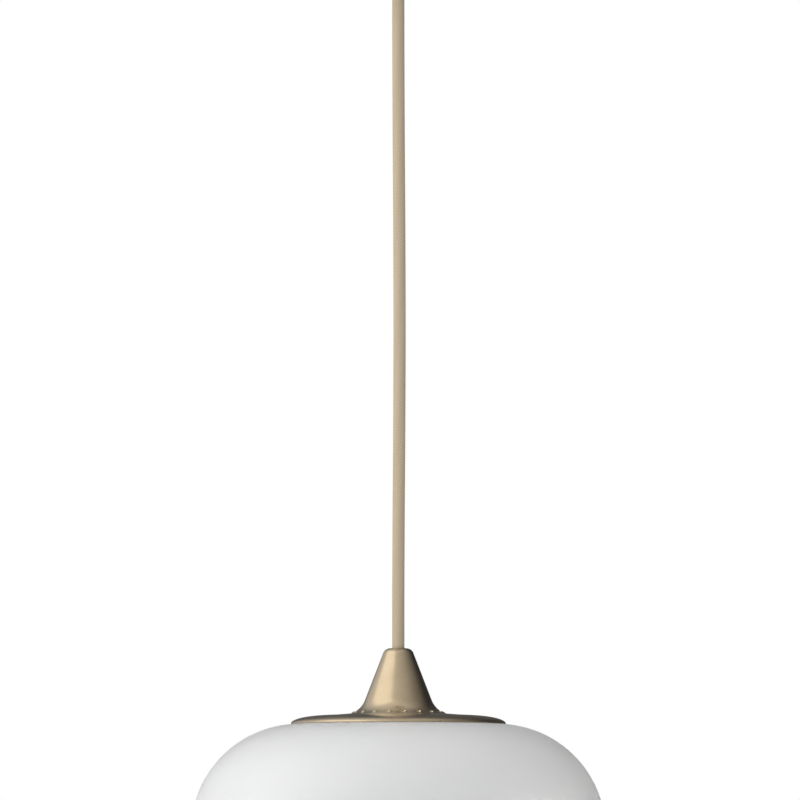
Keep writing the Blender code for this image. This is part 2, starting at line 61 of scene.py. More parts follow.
CORD_LENGTH = 333.0  # from the throat to the cap's top
RELIEF = 0.11  # how deep the braid's yarns dip
FULL = 2 * np.pi


# --- Camera ------------------------------------------------------------------------------------------
def aim(thing, at):
    """Turns a camera or a light so that its -Z axis meets a point."""
    away = Vector(at) - thing.location
    thing.rotation_euler = away.to_track_quat("-Z", "Y").to_euler()


def add_camera():
    """A long lens a little below the lid's rim, so that the rim bows up in the middle."""
    lens = bpy.data.cameras.new("camera")
    camera = bpy.data.objects.new("camera", lens)
    bpy.context.scene.collection.objects.link(camera)
    distance, eye, view_width = 4.5, -0.5268, 0.384
    sideways, middle = 0.0008, -0.2695
    camera.location = (sideways, -distance, eye)
    aim(camera, (sideways, 0, middle))
    lens.sensor_width = 36
    lens.lens = lens.sensor_width * np.hypot(distance, middle - eye) / view_width
    lens.clip_start, lens.clip_end = 0.05, 100
    bpy.context.scene.camera = camera


# --- Outlines ----------------------------------------------------------------------------------------
def arc(centre, radius, first, last, count):
    """Points round a centre, (r cos a, r sin a), or an ellipse's where radius is a pair; in degrees."""
    a = np.radians(np.linspace(first, last, count))
    return np.column_stack([np.cos(a), np.sin(a)]) * radius + centre


def rounded(corners, radii, steps=6, closed=True):
    """A polygon with its corners turned to arcs.

    Each arc is tangent to both sides: it starts r / tan(half the corner's angle) before the corner, and
    its middle is r / sin(half the angle) along the bisector."""
    corners = np.asarray(corners, float)
    radii = np.broadcast_to(radii, len(corners))
    found = []
    for i, (corner, radius) in enumerate(zip(corners, radii, strict=True)):
        if radius <= 0 or not closed and i in (0, len(corners) - 1):
            found.append(corner[None])
            continue
        back, on = corners[i - 1] - corner, corners[(i + 1) % len(corners)] - corner
        back, on = back / np.hypot(*back), on / np.hypot(*on)
        half = np.arccos(np.clip(back @ on, -1, 1)) / 2
        middle = corner + (back + on) / np.hypot(*(back + on)) * radius / np.sin(half)
        ends = [corner + side * radius / np.tan(half) - middle for side in (back, on)]
        first, last = (np.arctan2(end[1], end[0]) for end in ends)
        turn = (last - first + np.pi) % FULL - np.pi
        a = first + turn * np.linspace(0, 1, steps)
        found.append(middle + radius * np.column_stack([np.cos(a), np.sin(a)]))
    return np.concatenate(found)


def closed(outline):
    """An outline whose last point is its first one again."""
    return np.concatenate([outline, outline[:1]])


def lengths_along(outline):
    """How far along an outline each of its points is."""
    return np.concatenate([[0], np.cumsum(np.hypot(*np.diff(outline, axis=0).T))])


def along(outline, s):
    """The points at arc lengths s along an outline."""
    lengths = lengths_along(outline)
    return np.stack([np.interp(s, lengths, outline[:, i]) for i in (0, 1)], axis=-1)


def arc_length(outline, radius, height=None):
    """How far along an outline its nearest point to (radius, height) is."""
    lengths = lengths_along(outline)
    s = np.linspace(0, lengths[-1], 4001)
    off = along(outline, s) - (radius, 0 if height is None else height)
    return s[np.argmin(np.abs(off[:, 0]) if height is None else np.hypot(*off.T))], lengths[-1]


# --- Surfaces ----------------------------------------------------------------------------------------
def new_piece(name, points, faces):
    mesh = bpy.data.meshes.new(name)
    mesh.from_pydata((np.asarray(points) * MM).tolist(), [], np.asarray(faces).tolist())
    piece = bpy.data.objects.new(name, mesh)
    bpy.context.scene.collection.objects.link(piece)
    return piece


def weld(name, grids, first_is_right=False):
    """One mesh from grids of points, (rows, columns, 3), whose shared edges are merged.

    An open sheet has no inside to tell its faces from, so there the first face's own side is kept."""
    points, faces, start = [], [], 0
    for grid in grids:
        rows, columns = grid.shape[:2]
        index = start + np.arange(rows * columns).reshape(rows, columns)
        quads = np.stack([index[:-1, :-1], index[:-1, 1:], index[1:, 1:], index[1:, :-1]], axis=-1)
        points.append(grid.reshape(-1, 3))
        faces.append(quads.reshape(-1, 4))
        start += rows * columns
    piece = new_piece(name, np.concatenate(points), np.concatenate(faces))
    shape = bmesh.new()
    shape.from_mesh(piece.data)
    bmesh.ops.remove_doubles(shape, verts=shape.verts, dist=2e-6)
    bmesh.ops.dissolve_degenerate(shape, edges=shape.edges, dist=1e-6)
    shape.faces.ensure_lookup_table()
    before = shape.faces[0].normal.copy()
    bmesh.ops.recalc_face_normals(shape, faces=shape.faces)
    if first_is_right and before.dot(shape.faces[0].normal) < 0:
        bmesh.ops.reverse_faces(shape, faces=shape.faces)
    shape.to_mesh(piece.data)
    shape.free()
    return piece


def spin(outline, angles):
    """(radius, height) at each angle: (r cos a, r sin a, z). Rows follow the outline."""
    r, z = outline[..., 0], outline[..., 1]
    return np.stack([r * np.cos(angles), r * np.sin(angles), z + 0 * angles], axis=-1)


def turned(name, outline, steps=96, base=0.0):
    """A closed outline carried once round the Z axis."""
    ring = closed(np.asarray(outline, float) + (0, base))
    return weld(name, [spin(ring[:, None], np.linspace(0, FULL, steps + 1)[None])])


def pierced(
    name, outline, spacing, columns, at, count, turn, radius, patch, rings=4, base=0.0, collar=None
):
    """A sheet spun from an open outline, with a ring of round holes in it.

    The outline is cut into three bands. In the middle one, round each hole, a patch as wide as `patch`
    columns blends from the hole's circle to the patch's own four sides: p = circle + v (side - circle),
    with v from 0 to 1, in angle and arc length, and is only then laid on the spun surface. A collar of
    (height, width) lifts the sheet round each hole by height * exp(-(distance / width) ** 2)."""
    outline = np.asarray(outline, float) + (0, base)
    middle, total = arc_length(outline, at[0], at[1] + base if len(at) > 1 else None)
    step = FULL / columns
    ring_r = along(outline, middle)[0]
    half = min(patch / 2 * step * ring_r, 2.2 * radius + (collar[1] if collar else 0))
    low, high = max(middle - half, 0), min(middle + half, total)
    around = turn - patch / 2 * step + np.linspace(FULL, 0, columns + 1)
    grids = []
    for first, last in ((0, low), (high, total)):
        s = np.linspace(first, last, max(2, int((last - first) / spacing) + 1))
        s = np.unique(np.concatenate([s, kinks(outline, first, last)]).round(4))
        grids.append(spin(along(outline, s)[:, None], around[None]))
    rows = max(2, round(2 * half / (step * ring_r)))
    s = np.linspace(low, high, rows + 1)
    gap = columns // count - patch
    for i in range(count):
        start = around[-1] + i * FULL / count
        if gap:
            plain = start + step * np.arange(patch, patch + gap + 1)
            grids.append(spin(along(outline, s)[:, None], plain[None]))
        a = np.linspace(0, patch * step, patch + 1)
        side_a = np.concatenate([a[:-1], np.full(rows, a[-1]), a[:0:-1], np.full(rows, a[0]), a[:1]])
        side_s = np.concatenate([np.full(patch, low), s[:-1], np.full(patch, high), s[:0:-1], s[:1]])
        across, up = (side_a - a[-1] / 2) * ring_r, side_s - middle
        far = np.hypot(across, up)
        v = np.linspace(0, 1, rings + 1)[:, None] ** 1.3
        p_a = radius * across / far + v * (across - radius * across / far)
        p_s = middle + radius * up / far + v * (up - radius * up / far)
        place = along(outline, p_s)
        if collar:
            ahead = along(outline, p_s + 0.05) - along(outline, p_s - 0.05)
            ahead /= np.hypot(ahead[..., 0], ahead[..., 1])[..., None]
            lift = collar[0] * np.exp(-(((np.hypot(p_a, p_s - middle) - radius) / collar[1]) ** 2))
            place = place + lift[..., None] * np.stack([-ahead[..., 1], ahead[..., 0]], axis=-1)
        grids.append(spin(place, start + a[-1] / 2 + p_a / ring_r))
    return weld(name, grids, first_is_right=True)


def kinks(outline, first, last):
    """The arc lengths of an outline's own points between two of them, so that no corner is cut."""
    lengths = lengths_along(outline)
    return lengths[(lengths > first + 0.05) & (lengths < last - 0.05)]


def tube(name, path, radii, around):
    """A round section carried along a path: p + r (n cos a + b sin a), n and b square to the path.

    radii may be one number or a grid, one row to a point of the path."""
    path = np.asarray(path, float)
    ahead = np.gradient(path, axis=0)
    ahead /= np.linalg.norm(ahead, axis=1)[:, None]
    side = np.cross(ahead, (0.0, 1.0, 0.0) if abs(ahead[0, 1]) < 0.9 else (1.0, 0.0, 0.0))
    side /= np.linalg.norm(side, axis=1)[:, None]
    up = np.cross(side, ahead)
    a = np.linspace(0, FULL, around + 1)[None, :, None]
    radii = np.broadcast_to(radii, (len(path), around + 1))[..., None]
    return weld(name, [path[:, None] + radii * (np.cos(a) * side[:, None] + np.sin(a) * up[:, None])])


def smooth(piece, angle=35):
    """Smooth shading, with edges sharper than the angle kept."""
    mesh = piece.data
    mesh.polygons.foreach_set("use_smooth", np.ones(len(mesh.polygons), bool))
    mesh.set_sharp_from_angle(angle=np.radians(angle))
    return piece


def sheet_metal(piece, thickness, edge, edge_slot=0):
    """Gives a spun sheet its thickness, on its inner side, and softens its cut edges."""
    wall = piece.modifiers.new("Wall", "SOLIDIFY")
    wall.thickness, wall.offset = thickness * MM, -1.0
    wall.use_even_offset = True
    wall.material_offset_rim = edge_slot
    soft = piece.modifiers.new("Edges", "BEVEL")
    soft.width, soft.segments, soft.limit_method = edge * MM, 2, "ANGLE"
    soft.angle_limit = np.radians(50)
    soft.material = edge_slot
    return piece


# --- Materials ---------------------------------------------------------------------------------------
def linear(hex_colour):
    """An sRGB hex colour as linear light: ((c + 0.055) / 1.055) ** 2.4, or c / 12.92 where it is dark."""
    c = np.array([int(hex_colour[i : i + 2], 16) / 255 for i in (0, 2, 4)])
    return (*np.where(c <= 0.04045, c / 12.92, ((c + 0.055) / 1.055) ** 2.4).tolist(), 1.0)


def add(tree, kind, sockets=None, **settings):
    """Adds a node; a socket's value may be another node's output, and is then linked."""
    node = tree.nodes.new(kind)
    for name, value in settings.items():
        setattr(node, name, value)
    for name, value in (sockets or {}).items():
        if isinstance(value, bpy.types.NodeSocket):
            tree.links.new(value, node.inputs[name])
        else:
            node.inputs[name].default_value = value
    return node


def new_material(name, colour, rough, metallic=0.0, **sockets):
    """A named material with its shader; its tree, its shader and its coordinates in millimetres."""
    material = bpy.data.materials.new(name)
    material.use_nodes = True
    tree = material.node_tree
    shader = tree.nodes["Principled BSDF"]
    shader.inputs["Base Color"].default_value = linear(colour)
    shader.inputs["Roughness"].default_value = rough
    shader.inputs["Metallic"].default_value = metallic
    for socket, value in sockets.items():
        shader.inputs[socket.replace("_", " ")].default_value = value
    where = add(tree, "ShaderNodeTexCoord").outputs["Object"]
    scaled = add(tree, "ShaderNodeVectorMath", {0: where, 3: 1 / MM}, operation="SCALE")
    return material, tree, shader, scaled.outputs[0]


def mottle(tree, where, size, low, high, detail=3.0):
    """Soft noise whose lumps are `size` mm across, from low to high."""
    noise = add(
        tree, "ShaderNodeTexNoise", {"Vector": where, "Scale": 1 / size, "Detail": detail}
    ).outputs["Fac"]
    span = {"Value": noise, "From Min": 0.3, "From Max": 0.7, "To Min": low, "To Max": high}
    return add(tree, "ShaderNodeMapRange", span).outputs[0]


def blend_colours(tree, amount, first, second):
    sockets = {0: amount, 6: first, 7: second}
    return add(tree, "ShaderNodeMix", sockets, data_type="RGBA").outputs[2]


def bump(tree, shader, height, strength, depth):
    """Relief from a height, `depth` mm deep at its full strength."""
    sockets = {"Height": height, "Strength": strength, "Distance": depth * MM}
    tree.links.new(add(tree, "ShaderNodeBump", sockets).outputs[0], shader.inputs["Normal"])


def rings_height(tree, where, pitch):
    """Fine turning marks: a wave on the distance from the axis and on the height, `pitch` mm apart."""
    flat = add(tree, "ShaderNodeVectorMath", {0: where, 1: (1, 1, 0)}, operation="MULTIPLY").outputs[0]
    out = add(tree, "ShaderNodeVectorMath", {0: flat}, operation="LENGTH").outputs["Value"]
    high = add(tree, "ShaderNodeSeparateXYZ", {0: where}).outputs[2]
    both = add(tree, "ShaderNodeMath", {0: out, 1: high}, operation="SUBTRACT").outputs[0]
    line = add(tree, "ShaderNodeCombineXYZ", {2: both}).outputs[0]
    return add(
        tree, "ShaderNodeTexNoise", {"Vector": line, "Scale": 1 / pitch, "Detail": 0.0}
    ).outputs["Fac"]


def satin_brass():
    """Champagne brass, spun, scratch-brushed round its axis and lacquered."""
    material, tree, shader, where = new_material(
        "satin_lacquered_brass", "A69270", 0.27, 1.0, Coat_Weight=1.0, Coat_Roughness=0.3, Coat_IOR=1.8
    )
    patches = mottle(tree, where, 9.0, 0.0, 1.0)
    tint = blend_colours(tree, patches, linear("A28E6C"), linear("AA9674"))
    tree.links.new(tint, shader.inputs["Base Color"])
    tree.links.new(mottle(tree, where, 12.0, 0.26, 0.31), shader.inputs["Roughness"])
    # The brush's own marks, under 0.1 mm apart, are too fine to show, so they are drawn 1.2 mm apart.
    bump(tree, shader, rings_height(tree, where, 1.2), 0.06, 0.01)
    return material


def bright_brass():
    """The bare cut edge of the same sheet, burnished bright by the punch."""
    material, tree, shader, where = new_material("burnished_brass_edge", "F0DDB4", 0.16, 1.0)
    tint = blend_colours(tree, mottle(tree, where, 2.0, 0, 1), linear("EDD9AF"), linear("F3E1B9"))
    tree.links.new(tint, shader.inputs["Base Color"])
    tree.links.new(mottle(tree, where, 1.0, 0.12, 0.22), shader.inputs["Roughness"])
    return material


def machined_brass():
    """Free-cutting brass straight from the lathe: yellow, with fine rings."""
    material, tree, shader, where = new_material("machined_brass", "CFAE62", 0.28, 1.0)
    tint = blend_colours(tree, mottle(tree, where, 5.0, 0, 1), linear("C4A257"), linear("D6B76E"))
    tree.links.new(tint, shader.inputs["Base Color"])
    bump(tree, shader, rings_height(tree, where, 0.3), 0.35, 0.03)
    return material


def zinc_steel():
    """Pressed steel with a pale zinc plate: faint bluish crystals."""
    material, tree, shader, where = new_material("zinc_plated_steel", "B9BCBE", 0.38, 1.0)
    cells = add(tree, "ShaderNodeTexVoronoi", {"Vector": where, "Scale": 1 / 2.5}).outputs["Color"]
    spangle = add(tree, "ShaderNodeSeparateColor", {0: cells}).outputs[0]
    tint = blend_colours(tree, spangle, linear("AEB2B5"), linear("C6C8C8"))
    tree.links.new(tint, shader.inputs["Base Color"])
    tree.links.new(mottle(tree, where, 2.0, 0.3, 0.46), shader.inputs["Roughness"])
    return material


def nickel():
    """Nickel-plated sheet, bright and faintly yellow."""
    material, tree, shader, where = new_material("nickel_plated_steel", "CFCBC0", 0.22, 1.0)
    tint = blend_colours(tree, mottle(tree, where, 4.0, 0, 1), linear("CAC6BA"), linear("D4D0C6"))
    tree.links.new(tint, shader.inputs["Base Color"])
    tree.links.new(mottle(tree, where, 2.0, 0.18, 0.3), shader.inputs["Roughness"])
    return material


def opal_glass():
    """Blown opal glass, white all through and acid-etched to a satin: light sinks in and softens."""
    material, tree, shader, where = new_material(
        "etched_opal_glass", "FBFAF4", 0.33, IOR=1.5, Subsurface_Weight=1.0, Subsurface_Scale=0.02
    )
    shader.inputs["Subsurface Radius"].default_value = (1.0, 0.97, 0.92)
    tint = blend_colours(tree, mottle(tree, where, 45.0, 0, 1), linear("FAF9F3"), linear("FDFCF7"))
    tree.links.new(tint, shader.inputs["Base Color"])
    tree.links.new(mottle(tree, where, 20.0, 0.29, 0.37), shader.inputs["Roughness"])
    bump(tree, shader, mottle(tree, where, 38.0, 0, 1, 1.0), 0.15, 0.4)
    return material


def moulded(name, colour, second, rough, grain=0.6, depth=0.012, **sockets):
    """An injection-moulded part: nearly even colour, and the fine grain of a spark-cut mould."""
    material, tree, shader, where = new_material(name, colour, rough, **sockets)
    tint = blend_colours(tree, mottle(tree, where, 6.0, 0, 1), linear(colour), linear(second))
    tree.links.new(tint, shader.inputs["Base Color"])
    bump(tree, shader, mottle(tree, where, grain, 0, 1, 1.0), 0.4, depth)
    return material


def glazed_porcelain():
    """White steatite with a thin clear glaze: faint specks under a gloss."""
    material, tree, shader, where = new_material("glazed_porcelain", "E9E6DC", 0.18, Coat_Weight=0.5)
    specks = mottle(tree, where, 0.8, 0, 1, 0.0)
    tint = blend_colours(tree, specks, linear("E4E0D4"), linear("EEECE4"))
    tree.links.new(tint, shader.inputs["Base Color"])
    return material


def circuit_board():
    """Green solder resist over glass cloth, whose 0.5 mm weave shows faintly."""
    material, tree, shader, where = new_material("green_circuit_board", "2F6B3D", 0.35, Coat_Weight=0.3)
    weave = add(tree, "ShaderNodeTexWave", {"Vector": where, "Scale": 0.6}).outputs["Fac"]
    tint = blend_colours(tree, weave, linear("2A6338"), linear("37774A"))
    tree.links.new(tint, shader.inputs["Base Color"])
    return material


def woven_cord():
    """A sleeve braided from rayon yarn: each yarn is a bundle of shiny filaments, with painted shade where
    it dips.
    """
    material, tree, shader, where = new_material(
        "braided_rayon_sleeve", "C2B298", 0.4, Sheen_Weight=0.1, Sheen_Roughness=0.4
    )
    height = add(tree, "ShaderNodeAttribute", attribute_name="yarn_height").outputs["Fac"]
    family = add(tree, "ShaderNodeAttribute", attribute_name="yarn_family").outputs["Fac"]
    yarn = blend_colours(tree, family, linear("C2B298"), linear("BDAD93"))
    # Painted shade: each yarn's colour darkens towards A6967C where it dips under its neighbours.
    deep = blend_colours(tree, height, linear("A6967C"), yarn)
    tree.links.new(deep, shader.inputs["Base Color"])
    # Single filaments are 0.02 mm across, too fine to show, so they are drawn as bundles of 0.35 mm.
    bump(tree, shader, mottle(tree, where, 0.35, 0, 1, 1.0), 0.3, 0.03)
    return material


def finishes():
    brass, cut = satin_brass(), bright_brass()
    return {
        "satin_brass": brass,
        "brass_edge": cut,
        "plain_brass": machined_brass(),
        "zinc_steel": zinc_steel(),
        "nickel": nickel(),
        "opal_glass": opal_glass(),
        "textile_cord": woven_cord(),
        "white_nylon": moulded("white_nylon", "E4E2DA", "DDDACF", 0.42),
        "white_silicone": moulded("white_silicone_rubber", "E6E6E2", "DEDEDA", 0.55),
        "phenolic": moulded("black_phenolic", "1A1817", "221F1D", 0.3),
        "porcelain": glazed_porcelain(),
        "bulb_plastic": moulded("white_polycarbonate", "EEEDE8", "E8E7E1", 0.3),
        "circuit_board": circuit_board(),
        "brown_core": moulded("brown_pvc", "5A3420", "654029", 0.4),
        "blue_core": moulded("blue_pvc", "2A5FA8", "3468AE", 0.4),
        "earth_core": moulded("green_yellow_pvc", "8FAE2C", "C9C233", 0.4),
    }


# --- The object's pieces -----------------------------------------------------------------------------
def fit(piece, body, slot, *nodes):
    """Rides a piece on its body, gives it its slot's finish, and puts it in its CAD nodes' place."""
    if not piece.data.materials:
        piece.data.materials.append(FINISH[slot])
    if body:
        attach(piece, body)
    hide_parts(*nodes)
    return piece


def cord_route(s):
    """The free cord's centreline at arc lengths s: a Catmull-Rom curve through its set points."""
    sideways = np.array([0, 0, 0.15, 0.45, 0.6, 0.45, 0.15, 0, 0])
    down = np.array([0, 30, 80, 130, 180, 225, 270, 305, CORD_LENGTH])
    slopes = np.gradient(sideways, down)
    i = np.clip(np.searchsorted(down, s, side="right") - 1, 0, len(down) - 2)
    run = down[i + 1] - down[i]
    t = (s - down[i]) / run
    x = (
        (2 * t**3 - 3 * t**2 + 1) * sideways[i]
        + (t**3 - 2 * t**2 + t) * run * slopes[i]
        + (3 * t**2 - 2 * t**3) * sideways[i + 1]
        + (t**3 - t**2) * run * slopes[i + 1]
    )
    return np.column_stack([x, 0 * s, EXIT - s])


def build_cord():
    """The woven sleeve: two families of yarns wind opposite ways round the cord, over one and under one.

    A real sleeve's yarns are about half as wide, too fine to show, so they are drawn 1.9 mm wide.
    Yarn phases are u = n a / 2 pi + s / p and v = n a / 2 pi - s / p. A yarn's section is the half
    circle sqrt(1 - (2 frac - 1)^2), and the family on top is u's where floor(u) + floor(v) is even.
    The end in the grip is a half ball, r sqrt(1 - (1 - s / r)^2), so that it has room to swing."""
    rings, around, yarns, pitch = 1330, 72, 10, 1.6
    gap = 0.5  # room above the rounded end
    s = np.linspace(gap, CORD_LENGTH - 0.35, rings)
    a = np.linspace(0, FULL, around + 1)
    u = yarns * a[None] / FULL + s[:, None] / pitch
    v = yarns * a[None] / FULL - s[:, None] / pitch
    over = (np.floor(u) + np.floor(v)) % 2
    bulge = [np.sqrt(np.clip(1 - (2 * (w % 1) - 1) ** 2, 0, 1)) for w in (u, v)]
    dip = [np.abs(np.sin(np.pi * w)) for w in (v, u)]
    top = np.where(over == 0, bulge[0] * dip[0], bulge[1] * dip[1])
    radii = CORD_R - RELIEF + (RELIEF - 0.02) * top
    radii *= np.sqrt(1 - np.clip(1 - (s - gap) / CORD_R, 0, 1) ** 2)[:, None]
    cord = tube("woven_cord", cord_route(s), radii, around)
    points = np.empty(len(cord.data.vertices) * 3)
    cord.data.vertices.foreach_get("co", points)
    points = points.reshape(-1, 3) / MM
    ring_s = EXIT - points[:, 2]
    centre = cord_route(ring_s)
    angle = np.arctan2(points[:, 1] - centre[:, 1], points[:, 0] - centre[:, 0])
    out = np.hypot(points[:, 0] - centre[:, 0], points[:, 1] - centre[:, 1])
    height = np.clip((out - CORD_R + RELIEF) / (RELIEF - 0.02), 0, 1)
    for name, values in (("yarn_height", height), ("yarn_family", np.sin(angle * 3 + ring_s / 9) > 0)):
        layer = cord.data.attributes.new(name, "FLOAT", "POINT")
        layer.data.foreach_set("value", np.asarray(values, np.float32))
    smooth(cord, 80)
    close_ends(cord)
    fit(cord, None, "textile_cord", "cord", "cord_neck")
    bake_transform(cord)


def close_ends(piece):
    """Fills a piece's open rims with flat faces, turned outwards."""
    shape = bmesh.new()
    shape.from_mesh(piece.data)
    bmesh.ops.holes_fill(shape, edges=shape.edges, sides=0)
    bmesh.ops.recalc_face_normals(shape, faces=shape.faces)
    shape.to_mesh(piece.data)
    shape.free()


def cap_skin():
    """The cone's outer skin: rounded crown, straight cone, and a foot flared on an arc to its rim."""
    slope, flare_top, flare = 21.2, -24.2, 11.0
    bore_edge, rim = (3.5, 0.6), (23.0, -30.75)
    crown = arc((3.91, -3.0), 3.6, 90, slope, 16)
    start = crown[-1]
    flare_r = start[0] + (start[1] - flare_top) * np.tan(np.radians(slope))
    square = np.array([np.cos(np.radians(slope)), np.sin(np.radians(slope))])
    foot = arc((flare_r, flare_top) + flare * square, flare, 180 + slope, 251, 26)
    return np.concatenate([[bore_edge], crown, foot, [rim]])


def build_cap():
    """The cone, with a ring of small drawn vent holes in its foot."""
    vents, hole, ring_at, turn = 18, 0.62, (21.5,), np.radians(8 - 90)
    drawn = {"rings": 9, "base": CAP_TOP, "collar": (0.34, 0.42)}
    cap = pierced("cone_cap", cap_skin(), 0.9, 180, ring_at, vents, turn, hole, 10, **drawn)
    cap.data.materials.append(FINISH["satin_brass"])
    cap.data.materials.append(FINISH["brass_edge"])
    sheet_metal(smooth(cap), 1.0, 0.16, 1)
    fit(cap, "cap_shell", "satin_brass", "cap")


def build_lid():
    """A spun disc: a flat recess with air holes, a low dome, and a rim rolled down over the glass."""
    shoulder = np.concatenate([arc((34.0, -35.5), (17.5, 3.95), 90, 0, 34), [(51.5, -35.7)]])
    recess = [(5.3, -31.8), (23.4, -31.8), (23.7, -30.75), (30.0, -31.35)]
    skin = np.concatenate([rounded(recess, 0.5, 5, closed=False)[:-1], shoulder])
    air_holes, hole, ring_at, turn = 6, 3.0, (15.0,), np.radians(30)
    lid = pierced("domed_lid", skin, 1.2, 180, ring_at, air_holes, turn, hole, 20, base=CAP_TOP)
    lid.data.materials.append(FINISH["satin_brass"])
    lid.data.materials.append(FINISH["brass_edge"])
    sheet_metal(smooth(lid), 1.0, 0.08, 0)
    fit(lid, "head", "satin_brass", "lid_disc")


def build_shade():
    """Blown glass: flat top, round shoulder, then half an ellipse down to a fire-polished mouth."""
    wall, waist, widest, drop, mouth_r = 3.0, -87.2, 99.3, 104, 46.0
    shoulder, bend = (47.8, waist), 51.5
    mouth = np.degrees(np.arccos(mouth_r / widest))
    below = arc((0, waist), (widest, drop), 0, -mouth, 34)
    outer = np.concatenate([arc(shoulder, bend, 90, 0, 30), below[1:]])
    below = arc((0, waist), (widest - wall, drop - wall), -mouth - 0.9, 0, 34)
    inner = np.concatenate([below, arc(shoulder, bend - wall, 0, 90, 30)[1:]])
    lip = arc((outer[-1] + inner[0]) / 2, wall / 2, -25, -160, 7)
    edge = arc((31.5, -37.2), wall / 2, -90, -270, 7)
    shade = turned("opal_shade_glass", np.concatenate([outer, lip[1:-1], inner, edge]), 160, CAP_TOP)
    smooth(shade, 60)
    fit(shade, "shade", "opal_glass", "opal_shade_crown", "opal_shade_waist", "opal_shade_mouth")


def along_x(grid, side):
    """Lays a piece turned on Z along X: z goes to x, or to -x on the left."""
    x, y, z = grid[..., 0], grid[..., 1], grid[..., 2]
    return np.stack([side * z, y, -side * x], axis=-1)


def knurled(outline, at, band, ridges, depth, steps):
    """An outline spun with upright ridges, where its radius is over `at` and its height in the band.

    The radius there loses depth * (1 - |sin(ridges a / 2)|), a row of rounded flutes."""
    a = np.linspace(0, FULL, steps + 1)[None]
    low, high = band
    inside = ((outline[:, 1] > low) & (outline[:, 1] < high) & (outline[:, 0] > at))[:, None]
    flutes = depth * (1 - np.abs(np.sin(ridges * a / 2)))
    radius = outline[:, :1] - inside * flutes
    return np.stack([radius * np.cos(a), radius * np.sin(a), outline[:, 1:] + 0 * a], axis=-1)


def build_canopy():
    """A drawn cup with a soft bottom corner, and the two knurled screws that hold it."""
    skin = np.concatenate([[(50.0, -0.5)], arc((44.0, -40.0), 6.0, 0, -90, 14), [(5.3, -46.0)]])
    screw_at, hole = (50.0, -8.0), 2.3
    cup = pierced("ceiling_cup", skin, 3.0, 180, screw_at, 2, 0.0, hole, 6)
    cup.data.materials.append(FINISH["satin_brass"])
    cup.data.materials.append(FINISH["brass_edge"])
    sheet_metal(smooth(cup), 1.2, 0.25, 0)
    fit(cup, "canopy", "satin_brass", "canopy_cup")
    head = [(0, 53.8), (3.4, 53.8), (4.0, 53.2), (4.0, 50.3), (1.9, 50.3), (1.9, 46.3), (0, 46.3)]
    head = rounded(head, [0, 0.6, 0.3, 0.3, 0.1, 0.3, 0], 5)
    band = [(4.0, 53.0), (4.0, 52.9), (4.0, 50.75), (4.0, 50.65)]
    outline = np.concatenate([head[:11], band, head[11:]])
    for side, name in ((1, "right"), (-1, "left")):
        grid = along_x(knurled(outline, 3.0, (50.7, 52.95), 28, 0.25, 112), side)
        screw = weld(f"side_screw_{name}", [grid + (0, 0, screw_at[1])])
        fit(smooth(screw, 30), "canopy", "satin_brass", f"canopy_screw_{name}")


def build_grip():
    """The turned barrel of the cord grip, with its conical mouth."""
    outside = [(5.0, -37.5), (5.0, -46.3), (9.0, -46.3), (9.0, -62.3)]
    inside = [(7.9, -62.3), (3.3, EXIT), (3.3, -37.5)]
    outline = rounded(outside + inside, [0.4, 0.1, 0.5, 0.7, 0.25, 0.8, 0.2], 6)
    barrel = turned("cord_grip_barrel_turned", outline, 96)
    fit(smooth(barrel, 40), "canopy", "satin_brass", "cord_grip_barrel")


def build_dish():
    """The clamping dish: a flat flange, a sloping wall with eight air holes, and a flat foot."""
    corners = [(19.9, -55.6), (25.0, -55.6), (32.0, -41.3), (40.0, -41.3)]
    skin = rounded(corners, [0, 1.2, 1.2, 0], 7, closed=False)
    air_holes, hole, ring_at = 8, 4.0, (28.9, -47.9)
    dish = pierced("vented_clamp_dish", skin, 1.5, 192, ring_at, air_holes, 0.0, hole, 20, base=CAP_TOP)
    dish.data.materials.append(FINISH["zinc_steel"])
    sheet_metal(smooth(dish), 1.2, 0.2)
    fit(dish, "shade", "zinc_steel", "clamp_dish")


def build_shade_ring():
    """The black ring under the dish, fluted for a hand's grip."""
    corners = [(24.5, -57.1), (24.5, -65.1), (19.9, -65.1), (19.9, -57.1)]
    outline = closed(rounded(corners, [0.5, 0.9, 0.5, 0.3], 6))
    grid = knurled(outline, 24.3, (-64.2, -57.7), 40, 0.7, 240) + (0, 0, CAP_TOP)
    fit(smooth(weld("fluted_shade_ring", [grid]), 30), "ring", "phenolic", "shade_ring")


def thread(middle_r, height, pitch, top, bottom, run_out, rows, a):
    """A thread's surface, r + h cos(2 pi z / p - a), that dies away over its run-out at both ends."""
    z = np.linspace(top, bottom, rows)[:, None]
    fade = np.clip((z - bottom) / run_out, 0, 1) * np.clip((top - z) / run_out, 0, 1)
    radius = middle_r + height * fade * np.cos(FULL * z / pitch - a)
    return np.stack([radius * np.cos(a), radius * np.sin(a), z + 0 * a], axis=-1)


